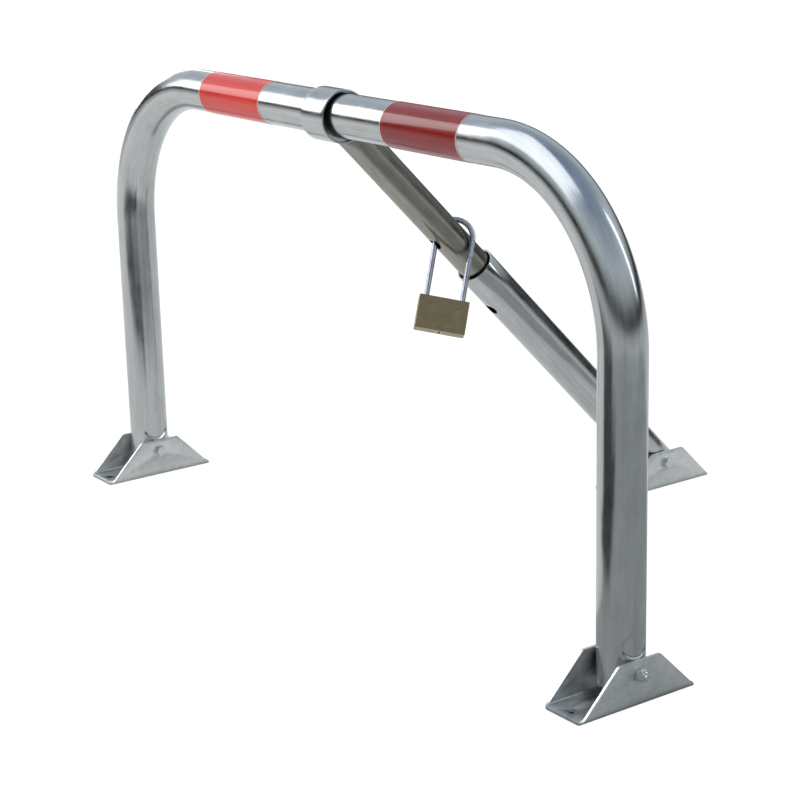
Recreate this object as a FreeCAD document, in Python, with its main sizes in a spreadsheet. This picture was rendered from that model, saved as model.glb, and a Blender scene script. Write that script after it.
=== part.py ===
import FreeCAD, Part
import math
import os
import re

import Sketcher

# Fold-down parking barrier: a bent tube hoop pinned in two floor brackets, a telescopic
# rear strut pinned in a third, and a padlock hung through the strut.
# X runs along the hoop's width, Y from the hoop towards the rear bracket, Z is up.
# The origin is on the ground, in the middle of the footprint: the front pivots lie half of
# rear_distance before it and the rear pivot as far behind it.

Vector = FreeCAD.Vector
X_AXIS = Vector(1, 0, 0)
doc = FreeCAD.newDocument("FoldingBarrier")
sheet = doc.addObject("Spreadsheet::Sheet", "Sizes")

# Driving dimensions in millimetres, angles in degrees.
sizes = [
    # hoop
    ("hoop_span", 806, "distance between the leg axes"),
    ("bar_height", 452, "height of the top bar's axis"),
    ("bend_radius", 155, "centreline radius of the two bends"),
    ("hoop_tube", 42, "outside diameter of the hoop's tube"),
    ("hoop_wall", 2, "wall of the hoop's tube"),
    ("leg_tail", 14, "leg below its pivot"),
    ("band_length", 112, "length of one reflective band"),
    ("band_centre", 158, "middle of the hoop to the middle of a band"),
    ("band_film", 0.3, "thickness of the reflective film"),
    # brackets
    ("rear_distance", 410, "front pivots to the rear pivot"),
    ("pin_height", 29, "height of the pivots"),
    ("bracket_length", 130, "foot of a bracket along Y"),
    ("foot_lip", 5, "foot beyond the ears, at each end"),
    ("bracket_crown", 46, "length of the ears' top edge"),
    ("bracket_height", 42, "height of the ears"),
    ("bracket_plate", 3, "thickness of the bracket's plate"),
    ("bracket_bend", 2, "inside radius of the bracket's folds"),
    ("leg_side_gap", 0.3, "leg to ear, each side"),
    ("anchor_hole", 9, "diameter of the anchor holes"),
    ("anchor_inset", 11, "anchor hole to the foot's end"),
    # pivot fasteners
    ("bolt_diameter", 6, "pivot bolt"),
    ("hex_width", 10, "across the flats of the head and the nut"),
    ("bolt_head", 4, "height of the bolt's head"),
    ("nut_height", 6, "height of the lock nut"),
    ("nut_collar", 2, "height of the lock nut's round collar"),
    ("washer_diameter", 12, "washer under the nut"),
    ("washer_thickness", 1.6, "washer under the nut"),
    ("bolt_point", 2, "bolt past the nut"),
    ("pin_clearance", 0.1, "radial clearance of the pivots"),
    # telescopic strut
    ("upper_tube", 33, "outside diameter of the upper strut tube"),
    ("upper_wall", 2, "wall of the upper strut tube"),
    ("upper_reach", 511, "bar axis to the upper tube's lower end"),
    ("lower_tube", 40, "outside diameter of the lower strut tube"),
    ("lower_wall", 1.5, "wall of the lower strut tube"),
    ("lower_reach", 354, "rear pivot to the lower tube's mouth"),
    ("cross_hole", 14, "diameter of the strut's cross holes"),
    ("padlock_hole", 181, "bar axis to the padlock's hole"),
    ("lock_hole", 50, "lower tube's mouth to its cross hole"),
    ("collar_length", 37, "collar that turns on the top bar"),
    ("collar_play", 2.5, "gap between the collar's bore and the bar"),
    ("collar_wall", 2, "wall of the collar"),
    ("collar_slack", 1.5, "collar axis off the bar axis"),
    ("weld_leg", 2, "leg of the weld bead between collar and strut"),
    # padlock
    ("lock_width", 50, "padlock body, across the shackle"),
    ("lock_height", 34, "padlock body, along the shackle"),
    ("lock_depth", 15, "padlock body, front to back"),
    ("lock_edge", 1, "rounding of the padlock body"),
    ("shackle_rod", 5.5, "diameter of the shackle's rod"),
    ("shackle_span", 36, "distance between the shackle's legs"),
    ("shackle_drop", 65, "shackle's arc centre to the padlock body"),
    ("leg_clearance", 0.1, "radial clearance of the shackle's legs"),
    ("toe_depth", 15, "toe leg inside the body"),
    ("heel_depth", 24, "heel leg inside the body"),
    ("hang_angle", 25, "shackle legs to the hole's axis"),
    ("lean_angle", 50, "turn of the shackle's plane about the hole's axis"),
    ("leg_in_hole", 11, "straight leg inside the tube, from its lower wall"),
    # padlock works
    ("plug_diameter", 9.8, "key plug"),
    ("plug_length", 20, "key plug without its tail"),
    ("plug_clearance", 0.1, "key plug in its bore, radial"),
    ("tail_diameter", 5, "key plug's tail"),
    ("key_slot_width", 1.8, "keyway"),
    ("key_slot_height", 7, "keyway"),
    ("plug_web", 2, "solid end of the key plug past its keyway"),
    ("clip_thickness", 1, "clip that holds the key plug"),
    ("pin_diameter", 2.4, "lock pins"),
    ("pin_pitch", 3.6, "distance between lock pins"),
    ("first_pin", 4, "bottom face to the first lock pin"),
    ("driver_length", 4.5, "driver pin"),
    ("chamber_plug", 8, "plug that closes a pin chamber"),
    ("latch_depth", 4, "body top to the latch"),
    ("latch_height", 4, "latch along the shackle"),
    ("latch_width", 5, "latch front to back"),
    ("latch_bite", 1.4, "latch inside the toe leg"),
    ("latch_length", 15.6, "latch across the body"),
    ("latch_travel", 2.2, "latch stroke as the key turns"),
    ("latch_play", 0.2, "latch to its notch and its channel"),
    ("spring_room", 4, "channel past the retracted latch"),
    ("spring_well", 3, "bore in the latch for its spring"),
    ("spring_coil", 2.6, "outside diameter of the latch spring"),
    ("spring_wire", 0.5, "wire of the latch spring"),
    ("spring_slack", 0.3, "latch spring short of its well's end"),
    ("pin_wire", 0.4, "wire of the pin springs"),
    ("release_travel", 8, "body's drop when unlocked"),
    ("heel_neck", 3.8, "diameter of the heel leg's neck"),
    ("heel_pin", 3, "pin that retains the heel leg"),
    ("heel_pin_depth", 11, "body top to the retaining pin"),
]
for row, (alias, value, note) in enumerate(sizes, start=1):
    sheet.set("A%d" % row, note)
    sheet.set("B%d" % row, str(value))
    sheet.setAlias("B%d" % row, alias)
doc.recompute()


def size(alias):
    return float(sheet.get(alias))


def spell(expression):
    """Put the sheet's name before each alias of an expression."""
    return re.sub(r"\b(%s)\b" % "|".join(entry[0] for entry in sizes), r"Sizes.\1", expression)


nodes = []


def new_body(name, place):
    body = doc.addObject("PartDesign::Body", name)
    body.Label = name
    body.Placement = place
    nodes.append(body)
    return body


def new_sketch(body, name, role):
    plane = [item for item in body.Origin.OriginFeatures if item.Role == role][0]
    sketch = body.newObject("Sketcher::SketchObject", name)
    sketch.AttachmentSupport = [(plane, "")]
    sketch.MapMode = "FlatFace"
    return sketch


def tie(sketch, kind, expression, *geometry):
    """Add a dimension that the sheet drives."""
    value = float(sketch.evalExpression(spell(expression)))
    index = sketch.addConstraint(Sketcher.Constraint(kind, *geometry, value))
    if expression != "0":
        label = "size%d" % index
        sketch.renameConstraint(index, label)
        sketch.setExpression("Constraints." + label, spell(expression))


def draw_polygon(sketch, corners):
    """Closed outline whose corners are pairs of expressions."""
    first = sketch.GeometryCount
    points = []
    for across, up in corners:
        x_value = float(sketch.evalExpression(spell(across)))
        y_value = float(sketch.evalExpression(spell(up)))
        points.append(Vector(x_value, y_value, 0))
    count = len(points)
    for index in range(count):
        sketch.addGeometry(Part.LineSegment(points[index], points[(index + 1) % count]), False)
    for index in range(count):
        following = first + (index + 1) % count
        sketch.addConstraint(Sketcher.Constraint("Coincident", first + index, 2, following, 1))
    for index, (across, up) in enumerate(corners):
        tie(sketch, "DistanceX", across, -1, 1, first + index, 1)
        tie(sketch, "DistanceY", up, -1, 1, first + index, 1)


def draw_circle(sketch, across, up, radius):
    index = sketch.GeometryCount
    x_value = float(sketch.evalExpression(spell(across)))
    y_value = float(sketch.evalExpression(spell(up)))
    r_value = float(sketch.evalExpression(spell(radius)))
    sketch.addGeometry(Part.Circle(Vector(x_value, y_value, 0), Vector(0, 0, 1), r_value), False)
    tie(sketch, "DistanceX", across, -1, 1, index, 3)
    tie(sketch, "DistanceY", up, -1, 1, index, 3)
    tie(sketch, "Radius", radius, index)


def pad(body, sketch, length, symmetric=False):
    feature = body.newObject("PartDesign::Pad", sketch.Name + "Pad")
    feature.Profile = sketch
    feature.SideType = "Symmetric" if symmetric else "One side"
    feature.setExpression("Length", spell(length))
    return feature


def cut_through(body, sketch):
    feature = body.newObject("PartDesign::Pocket", sketch.Name + "Cut")
    feature.Profile = sketch
    feature.Type = "ThroughAll"
    feature.SideType = "Symmetric"
    return feature


def cut_depth(body, sketch, length, reverse):
    feature = body.newObject("PartDesign::Pocket", sketch.Name + "Cut")
    feature.Profile = sketch
    feature.Reversed = reverse
    feature.setExpression("Length", spell(length))
    return feature


def at(x_value, y_value, z_value, rotation=FreeCAD.Rotation()):
    return FreeCAD.Placement(Vector(x_value, y_value, z_value), rotation)


# Side view of the strut at rest: bar axis to rear pivot.
strut_rise = size("bar_height") - size("pin_height")
strut_run = size("rear_distance")
strut_angle = math.degrees(math.atan2(strut_rise, strut_run))
half_span = size("hoop_span") / 2
front = -size("rear_distance") / 2
pivots = {
    "left": Vector(-half_span, front, 0),
    "right": Vector(half_span, front, 0),
    "rear": Vector(0, -front, 0),
}


# ---- floor brackets: a folded channel with trapezoid ears ----
channel_half = "(hoop_tube / 2 + leg_side_gap)"
ear_half = "(hoop_tube / 2 + leg_side_gap + bracket_plate)"
half_channel = size("hoop_tube") / 2 + size("leg_side_gap")
half_grip = half_channel + size("bracket_plate")


def make_bracket(side, spot):
    body = new_body(side + "_bracket", at(spot.x, spot.y, 0))
    plate = new_sketch(body, side + "Channel", "XZ_Plane")
    draw_polygon(plate, [
        ("-" + ear_half, "0"),
        (ear_half, "0"),
        (ear_half, "bracket_height"),
        (channel_half, "bracket_height"),
        (channel_half, "bracket_plate"),
        ("-" + channel_half, "bracket_plate"),
        ("-" + channel_half, "bracket_height"),
        ("-" + ear_half, "bracket_height"),
    ])
    pad(body, plate, "bracket_length", symmetric=True)
    doc.recompute()
    outer_radius = "bracket_bend + bracket_plate"
    for radius, level, place_x in (
        (outer_radius, 0.0, half_grip),
        ("bracket_bend", size("bracket_plate"), half_channel),
    ):
        base = body.Tip
        folds = []
        for index, edge in enumerate(base.Shape.Edges, start=1):
            middle = edge.BoundBox.Center
            along = edge.BoundBox.YLength > size("bracket_length") - 1
            if along and abs(middle.z - level) < 0.01 and abs(abs(middle.x) - place_x) < 0.01:
                folds.append("Edge%d" % index)
        fold = body.newObject("PartDesign::Fillet", side + ("Outer" if level == 0 else "Inner") + "Fold")
        fold.Base = (base, folds)
        fold.setExpression("Radius", spell(radius))
        doc.recompute()

    waste = new_sketch(body, side + "Slopes", "YZ_Plane")
    margin = "(bracket_length / 2 + bracket_plate)"
    ears_foot = "(bracket_length / 2 - foot_lip)"
    for sign in ("", "-"):
        draw_polygon(waste, [
            (sign + ears_foot, "bracket_plate"),
            (sign + margin, "bracket_plate"),
            (sign + margin, "bracket_height + bracket_plate"),
            (sign + "bracket_crown / 2", "bracket_height + bracket_plate"),
            (sign + "bracket_crown / 2", "bracket_height"),
        ])
    cut_through(body, waste)
    pin = new_sketch(body, side + "PinHole", "YZ_Plane")
    draw_circle(pin, "0", "pin_height", "bolt_diameter / 2 + pin_clearance")
    cut_through(body, pin)
    anchors = new_sketch(body, side + "Anchors", "XY_Plane")
    draw_circle(anchors, "0", "bracket_length / 2 - anchor_inset", "anchor_hole / 2")
    draw_circle(anchors, "0", "anchor_inset - bracket_length / 2", "anchor_hole / 2")
    cut_through(body, anchors)


for side, spot in pivots.items():
    make_bracket(side, spot)


# ---- pivot bolts, washers and lock nuts: the nuts are on the hoop's outer sides ----
head_side = {"left": 1, "right": -1, "rear": 1}


def draw_hexagon(sketch, width):
    radius = width + " / sqrt(3)"
    corners = [(radius, "0"), (radius + " / 2", width + " / 2"), ("-" + radius + " / 2", width + " / 2"),
               ("-" + radius, "0"), ("-" + radius + " / 2", "-" + width + " / 2"),
               (radius + " / 2", "-" + width + " / 2")]
    draw_polygon(sketch, corners)


def on_pivot(side, distance):
    """Place on the pivot's axis, the distance from the bracket's middle towards the bolt's head,
    with local Z pointing from the head to the nut."""
    spot = pivots[side]
    sign = head_side[side]
    turn = FreeCAD.Rotation(Vector(0, 1, 0), -90 * sign)
    return at(spot.x + sign * distance, spot.y, size("pin_height"), turn)


def make_bolt(side):
    body = new_body(side + "_pivot_bolt", on_pivot(side, half_grip))
    shank = new_sketch(body, side + "Shank", "XY_Plane")
    draw_circle(shank, "0", "0", "bolt_diameter / 2")
    pad(body, shank, "2 * " + ear_half + " + washer_thickness + nut_height + bolt_point")
    head = new_sketch(body, side + "Head", "XY_Plane")
    draw_hexagon(head, "hex_width")
    cap = pad(body, head, "bolt_head")
    cap.Reversed = True


def make_washer(side):
    body = new_body(side + "_washer", on_pivot(side, -half_grip))
    ring = new_sketch(body, side + "WasherRing", "XY_Plane")
    draw_circle(ring, "0", "0", "washer_diameter / 2")
    draw_circle(ring, "0", "0", "bolt_diameter / 2 + pin_clearance")
    pad(body, ring, "washer_thickness")


def make_nut(side):
    body = new_body(side + "_lock_nut", on_pivot(side, -half_grip - size("washer_thickness")))
    flats = new_sketch(body, side + "NutFlats", "XY_Plane")
    draw_hexagon(flats, "hex_width")
    pad(body, flats, "nut_height - nut_collar")
    collar = new_sketch(body, side + "NutCollar", "XY_Plane")
    draw_circle(collar, "0", "0", "hex_width / 2 - bolt_diameter / 12")
    pad(body, collar, "nut_height")
    bore = new_sketch(body, side + "NutBore", "XY_Plane")
    draw_circle(bore, "0", "0", "bolt_diameter / 2")
    cut_through(body, bore)


for side in pivots:
    make_bolt(side)
    make_washer(side)
    make_nut(side)


# ---- hoop: one tube with two bends, drawn from the left leg's lower end ----
leg_foot = size("pin_height") - size("leg_tail")
hoop = new_body("hoop_tube", at(-half_span, front, leg_foot))
rise = "(bar_height - pin_height + leg_tail)"
spine = new_sketch(hoop, "HoopPath", "XZ_Plane")
span = size("hoop_span")
height = size("bar_height") - leg_foot
bend = size("bend_radius")
up = Vector(0, 0, 1)
left_bend = Part.ArcOfCircle(Part.Circle(Vector(bend, height - bend, 0), up, bend), math.pi / 2, math.pi)
right_bend = Part.ArcOfCircle(Part.Circle(Vector(span - bend, height - bend, 0), up, bend), 0, math.pi / 2)
spine.addGeometry([
    Part.LineSegment(Vector(0, 0, 0), Vector(0, height - bend, 0)),
    left_bend,
    Part.LineSegment(Vector(bend, height, 0), Vector(span - bend, height, 0)),
    right_bend,
    Part.LineSegment(Vector(span, height - bend, 0), Vector(span, 0, 0)),
], False)
spine.addConstraint([
    Sketcher.Constraint("Coincident", 0, 1, -1, 1),
    Sketcher.Constraint("Vertical", 0),
    Sketcher.Constraint("Horizontal", 2),
    Sketcher.Constraint("Vertical", 4),
    Sketcher.Constraint("Tangent", 0, 2, 1, 2),
    Sketcher.Constraint("Tangent", 2, 1, 1, 1),
    Sketcher.Constraint("Tangent", 2, 2, 3, 2),
    Sketcher.Constraint("Tangent", 4, 1, 3, 1),
])
tie(spine, "Radius", "bend_radius", 1)
tie(spine, "Radius", "bend_radius", 3)
tie(spine, "DistanceY", rise, -1, 1, 2, 1)
tie(spine, "DistanceX", "hoop_span", -1, 1, 4, 2)
tie(spine, "DistanceY", "0", -1, 1, 4, 2)
section = new_sketch(hoop, "HoopSection", "XY_Plane")
draw_circle(section, "0", "0", "hoop_tube / 2")
draw_circle(section, "0", "0", "hoop_tube / 2 - hoop_wall")
doc.recompute()
pipe = hoop.newObject("PartDesign::AdditivePipe", "HoopPipe")
pipe.Profile = section
pipe.Spine = (spine, ["Edge%d" % number for number in range(1, 6)])
leg_holes = new_sketch(hoop, "LegHoles", "YZ_Plane")
draw_circle(leg_holes, "0", "leg_tail", "bolt_diameter / 2 + pin_clearance")
cut_through(hoop, leg_holes)

# reflective film bands wrapped round the top bar
for side, sign in (("left", -1), ("right", 1)):
    middle = sign * size("band_centre")
    band = new_body(side + "_reflective_band", at(middle, front, size("bar_height")))
    film = new_sketch(band, side + "Film", "YZ_Plane")
    draw_circle(film, "0", "0", "hoop_tube / 2 + band_film")
    draw_circle(film, "0", "0", "hoop_tube / 2")
    pad(band, film, "band_length", symmetric=True)


# ---- telescopic strut: local Z runs down the strut, local -Y is its upper side ----
upper_place = at(0, front, size("bar_height"), FreeCAD.Rotation(X_AXIS, -90 - strut_angle))

collar = new_body("strut_collar", upper_place)
ring = new_sketch(collar, "CollarRing", "YZ_Plane")
draw_circle(ring, "collar_slack", "0", "hoop_tube / 2 + collar_play + collar_wall")
draw_circle(ring, "collar_slack", "0", "hoop_tube / 2 + collar_play")
pad(collar, ring, "collar_length", symmetric=True)

upper = new_body("upper_strut_tube", upper_place)
annulus = new_sketch(upper, "UpperSection", "XY_Plane")
draw_circle(annulus, "0", "0", "upper_tube / 2")
draw_circle(annulus, "0", "0", "upper_tube / 2 - upper_wall")
pad(upper, annulus, "upper_reach")
saddle = new_sketch(upper, "UpperSaddle", "YZ_Plane")
draw_circle(saddle, "collar_slack", "0", "hoop_tube / 2 + collar_play + collar_wall")
cut_through(upper, saddle)
rest_length = "sqrt((bar_height - pin_height)^2 + rear_distance^2)"
holes = new_sketch(upper, "UpperHoles", "XZ_Plane")
draw_circle(holes, "0", "padlock_hole", "cross_hole / 2")
draw_circle(holes, "0", rest_length + " - lower_reach + lock_hole", "cross_hole / 2")
cut_through(upper, holes)

# weld bead that hugs the tube and the collar
bead = doc.addObject("Part::Feature", "collar_weld")
collar_radius = size("hoop_tube") / 2 + size("collar_play") + size("collar_wall")
bead_reach = collar_radius + size("weld_leg")
bead_ring = Part.makeCylinder(size("upper_tube") / 2 + size("weld_leg"), bead_reach)
bead_ring = bead_ring.cut(Part.makeCylinder(size("upper_tube") / 2, bead_reach))
slack_start = Vector(-size("collar_length"), size("collar_slack"), 0)
round_collar = Part.makeCylinder(bead_reach, 2 * size("collar_length"), slack_start, X_AXIS)
collar_core = Part.makeCylinder(collar_radius, 2 * size("collar_length"), slack_start, X_AXIS)
bead.Shape = bead_ring.common(round_collar).cut(collar_core)
bead.Label = "collar_weld"
bead.Placement = upper_place
nodes.append(bead)

lower = new_body("lower_strut_tube",
                 at(0, -front, size("pin_height"), FreeCAD.Rotation(X_AXIS, 90 - strut_angle)))
wide = new_sketch(lower, "LowerSection", "XY_Plane")
draw_circle(wide, "0", "0", "lower_tube / 2")
draw_circle(wide, "0", "0", "lower_tube / 2 - lower_wall")
pad(lower, wide, "lower_reach")
stub = new_sketch(lower, "LowerTail", "XY_Plane")
draw_circle(stub, "0", "0", "lower_tube / 2")
draw_circle(stub, "0", "0", "lower_tube / 2 - lower_wall")
tail = pad(lower, stub, "leg_tail")
tail.Reversed = True
pin = new_sketch(lower, "LowerPin", "YZ_Plane")
draw_circle(pin, "0", "0", "bolt_diameter / 2 + pin_clearance")
cut_through(lower, pin)
through = new_sketch(lower, "LowerHole", "XZ_Plane")
draw_circle(through, "0", "lower_reach - lock_hole", "cross_hole / 2")
cut_through(lower, through)


# ---- padlock: local Z runs up the shackle's legs, local X from the toe leg to the heel leg,
# origin at the centre of the shackle's arc ----
slope = math.radians(strut_angle)
hang = math.radians(size("hang_angle"))
lean = math.radians(size("lean_angle"))
down_strut = Vector(0, math.cos(slope), -math.sin(slope))
hole_axis = Vector(0, math.sin(slope), math.cos(slope))
plane_across = X_AXIS * math.cos(lean) + down_strut * math.sin(lean)
leg_up = hole_axis * math.cos(hang) - plane_across * math.sin(hang)
leg_side = hole_axis * math.sin(hang) + plane_across * math.cos(hang)
face_back = leg_up.cross(leg_side)
hole_centre = Vector(0, front, size("bar_height")) + down_strut * size("padlock_hole")
leg_enters = hole_centre - hole_axis * (size("upper_tube") - size("upper_wall")) * 0.5
arc_centre = leg_enters + leg_side * (size("shackle_span") / 2) + leg_up * size("leg_in_hole")
lock_place = FreeCAD.Placement(FreeCAD.Matrix(
    leg_side.x, face_back.x, leg_up.x, arc_centre.x,
    leg_side.y, face_back.y, leg_up.y, arc_centre.y,
    leg_side.z, face_back.z, leg_up.z, arc_centre.z,
    0, 0, 0, 1))

body_top = "-shackle_drop"
body_base = "(-shackle_drop - lock_height)"
toe_line = "-shackle_span / 2"
heel_line = "shackle_span / 2"

shackle = new_body("shackle", lock_place)
route = new_sketch(shackle, "ShacklePath", "XZ_Plane")
half = size("shackle_span") / 2
toe_tip = -size("shackle_drop") - size("toe_depth")
heel_tip = -size("shackle_drop") - size("heel_depth")
route.addGeometry([
    Part.LineSegment(Vector(-half, toe_tip, 0), Vector(-half, 0, 0)),
    Part.ArcOfCircle(Part.Circle(Vector(0, 0, 0), up, half), 0, math.pi),
    Part.LineSegment(Vector(half, 0, 0), Vector(half, heel_tip, 0)),
], False)
route.addConstraint([
    Sketcher.Constraint("Coincident", 1, 3, -1, 1),
    Sketcher.Constraint("Vertical", 0),
    Sketcher.Constraint("Vertical", 2),
    Sketcher.Constraint("Tangent", 0, 2, 1, 2),
    Sketcher.Constraint("Tangent", 2, 1, 1, 1),
])
tie(route, "Radius", "shackle_span / 2", 1)
tie(route, "DistanceY", body_top + " - toe_depth", -1, 1, 0, 1)
tie(route, "DistanceY", body_top + " - heel_depth", -1, 1, 2, 2)
rod = new_sketch(shackle, "ShackleRod", "XY_Plane")
rod.AttachmentOffset = at(0, 0, toe_tip)
rod.setExpression("AttachmentOffset.Base.z", spell(body_top + " - toe_depth"))
draw_circle(rod, toe_line, "0", "shackle_rod / 2")
doc.recompute()
bow = shackle.newObject("PartDesign::AdditivePipe", "ShackleBow")
bow.Profile = rod
bow.Spine = (route, ["Edge1", "Edge2", "Edge3"])
# the notch runs out in a long taper, so that the latch stays clear while the body drops
notch = new_sketch(shackle, "LatchNotch", "XZ_Plane")
inner_face = toe_line + " + shackle_rod / 2"
draw_polygon(notch, [
    (inner_face + " + latch_bite", body_top + " - latch_depth + latch_play"),
    (inner_face + " - latch_bite - latch_play", body_top + " - latch_depth + latch_play"),
    (inner_face + " - latch_bite - latch_play", body_top + " - latch_depth - latch_height - latch_play"),
    (inner_face, body_top + " - latch_depth - latch_height - latch_play"
     + " - release_travel * (latch_bite + latch_play) / latch_travel"),
    (inner_face + " + latch_bite", body_top + " - latch_depth - latch_height - latch_play"
     + " - release_travel * (latch_bite + latch_play) / latch_travel"),
])
cut_through(shackle, notch)
heel_flat = new_sketch(shackle, "HeelFlat", "XZ_Plane")
neck_top = body_top + " - heel_pin_depth + heel_pin / 2 + latch_play"
neck_end = body_top + " - heel_pin_depth - heel_pin / 2 - release_travel - latch_play"
draw_polygon(heel_flat, [
    (heel_line + " - heel_neck / 2", neck_top),
    (heel_line + " - shackle_rod", neck_top),
    (heel_line + " - shackle_rod", neck_end),
    (heel_line + " - heel_neck / 2", neck_end),
])
cut_through(shackle, heel_flat)

case = new_body("padlock_body", lock_place)
block = new_sketch(case, "LockBlock", "XZ_Plane")
draw_polygon(block, [
    ("-lock_width / 2", body_base),
    ("lock_width / 2", body_base),
    ("lock_width / 2", body_top),
    ("-lock_width / 2", body_top),
])
solid_block = pad(case, block, "lock_depth", symmetric=True)
doc.recompute()
rounded = case.newObject("PartDesign::Fillet", "LockEdges")
rounded.Base = (solid_block, ["Edge%d" % number for number in range(1, 13)])
rounded.setExpression("Radius", spell("lock_edge"))
doc.recompute()


def drill_down(label, across, radius, depth):
    """Bore from the padlock's top face."""
    sketch = new_sketch(case, label, "XY_Plane")
    sketch.setExpression("AttachmentOffset.Base.z", spell(body_top))
    draw_circle(sketch, across, "0", radius)
    doc.recompute()
    cut_depth(case, sketch, depth, False)


drill_down("ToeBore", toe_line, "shackle_rod / 2 + leg_clearance", "toe_depth + leg_clearance")
drill_down("HeelBore", heel_line, "shackle_rod / 2 + leg_clearance", "heel_depth + leg_clearance")
plug_bore = new_sketch(case, "PlugBore", "XY_Plane")
plug_bore.setExpression("AttachmentOffset.Base.z", spell(body_base))
draw_circle(plug_bore, "0", "0", "plug_diameter / 2 + plug_clearance")
doc.recompute()
cut_depth(case, plug_bore, "lock_height - latch_depth - latch_height / 2", True)
channel = new_sketch(case, "LatchChannel", "XZ_Plane")
channel_end = "(" + inner_face + " - latch_bite + latch_length + latch_travel + spring_room)"
draw_polygon(channel, [
    (toe_line, body_top + " - latch_depth + latch_play"),
    (toe_line, body_top + " - latch_depth - latch_height - latch_play"),
    (channel_end, body_top + " - latch_depth - latch_height - latch_play"),
    (channel_end, body_top + " - latch_depth + latch_play"),
])
slot = case.newObject("PartDesign::Pocket", "LatchChannelCut")
slot.Profile = channel
slot.SideType = "Symmetric"
slot.setExpression("Length", spell("latch_width + 2 * latch_play"))
doc.recompute()
chambers = new_sketch(case, "PinChambers", "YZ_Plane")
pin_levels = [body_base + " + first_pin + %d * pin_pitch" % number for number in range(4)]
for level in pin_levels:
    draw_circle(chambers, "0", level, "pin_diameter / 2 + plug_clearance")
doc.recompute()
cut_depth(case, chambers, "lock_width", False)
retainer = new_sketch(case, "RetainerHole", "XZ_Plane")
retainer_across = heel_line + " - heel_neck / 2 - heel_pin / 2 - leg_clearance"
draw_circle(retainer, retainer_across, body_top + " - heel_pin_depth", "heel_pin / 2")
cut_through(case, retainer)


def lock_cylinder(name, start, length, radius, bore="0"):
    """Round solids along the padlock's X axis, one at each pin level, as one group."""
    group = doc.addObject("Part::Feature", name)
    solids = []
    for level in pin_levels:
        height_here = float(sheet.evalExpression(spell(level)))
        rod_start = Vector(float(sheet.evalExpression(spell(start))), 0, height_here)
        rod_length = float(sheet.evalExpression(spell(length)))
        rod_radius = float(sheet.evalExpression(spell(radius)))
        bore_radius = float(sheet.evalExpression(spell(bore)))
        solid = Part.makeCylinder(rod_radius, rod_length, rod_start, X_AXIS * -1)
        if bore_radius > 0:
            solid = solid.cut(Part.makeCylinder(bore_radius, rod_length, rod_start, X_AXIS * -1))
        solids.append(solid)
    group.Shape = Part.makeCompound(solids)
    group.Label = name
    group.Placement = lock_place
    nodes.append(group)


shear_line = "-plug_diameter / 2"
lock_cylinder("key_pins", "0 - key_slot_width / 2", "plug_diameter / 2 - key_slot_width / 2 - plug_clearance",
              "pin_diameter / 2")
lock_cylinder("driver_pins", shear_line + " - plug_clearance", "driver_length", "pin_diameter / 2")
lock_cylinder("pin_springs", shear_line + " - plug_clearance - driver_length",
              "lock_width / 2 - chamber_plug - driver_length - plug_clearance - plug_diameter / 2",
              "pin_diameter / 2", "pin_diameter / 2 - pin_wire")
lock_cylinder("chamber_plugs", "chamber_plug - lock_width / 2", "chamber_plug",
              "pin_diameter / 2 + plug_clearance")

plug = new_body("key_plug", lock_place)
core = new_sketch(plug, "PlugCore", "XY_Plane")
core.setExpression("AttachmentOffset.Base.z", spell(body_base))
draw_circle(core, "0", "0", "plug_diameter / 2")
pad(plug, core, "plug_length")
tail_round = new_sketch(plug, "PlugTail", "XY_Plane")
tail_round.setExpression("AttachmentOffset.Base.z", spell(body_base))
draw_circle(tail_round, "0", "0", "tail_diameter / 2")
pad(plug, tail_round, "lock_height - latch_depth - latch_height - 2 * latch_play")
keyway = new_sketch(plug, "Keyway", "XY_Plane")
keyway.setExpression("AttachmentOffset.Base.z", spell(body_base))
draw_polygon(keyway, [
    ("-key_slot_width / 2", "-key_slot_height / 2"),
    ("key_slot_width / 2", "-key_slot_height / 2"),
    ("key_slot_width / 2", "key_slot_height / 2"),
    ("-key_slot_width / 2", "key_slot_height / 2"),
])
doc.recompute()
cut_depth(plug, keyway, "plug_length - plug_web", True)
pin_holes = new_sketch(plug, "PlugPinHoles", "YZ_Plane")
for level in pin_levels:
    draw_circle(pin_holes, "0", level, "pin_diameter / 2 + plug_clearance / 2")
doc.recompute()
cut_depth(plug, pin_holes, "plug_diameter", False)

clip = new_body("plug_clip", lock_place)
clip_ring = new_sketch(clip, "ClipRing", "XY_Plane")
clip_ring.setExpression("AttachmentOffset.Base.z", spell(body_base + " + plug_length"))
draw_circle(clip_ring, "0", "0", "plug_diameter / 2")
draw_circle(clip_ring, "0", "0", "tail_diameter / 2")
pad(clip, clip_ring, "clip_thickness")

latch = new_body("latch", lock_place)
tongue = new_sketch(latch, "LatchTongue", "XZ_Plane")
latch_nose = inner_face + " - latch_bite"
draw_polygon(tongue, [
    (latch_nose, body_top + " - latch_depth - latch_height"),
    (latch_nose + " + latch_length", body_top + " - latch_depth - latch_height"),
    (latch_nose + " + latch_length", body_top + " - latch_depth"),
    (latch_nose, body_top + " - latch_depth"),
])
pad(latch, tongue, "latch_width", symmetric=True)
well = new_sketch(latch, "SpringWell", "YZ_Plane")
well.setExpression("AttachmentOffset.Base.z", spell(latch_nose + " + latch_length"))
draw_circle(well, "0", body_top + " - latch_depth - latch_height / 2", "spring_well / 2")
doc.recompute()
cut_depth(latch, well, "latch_length / 2", False)

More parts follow.
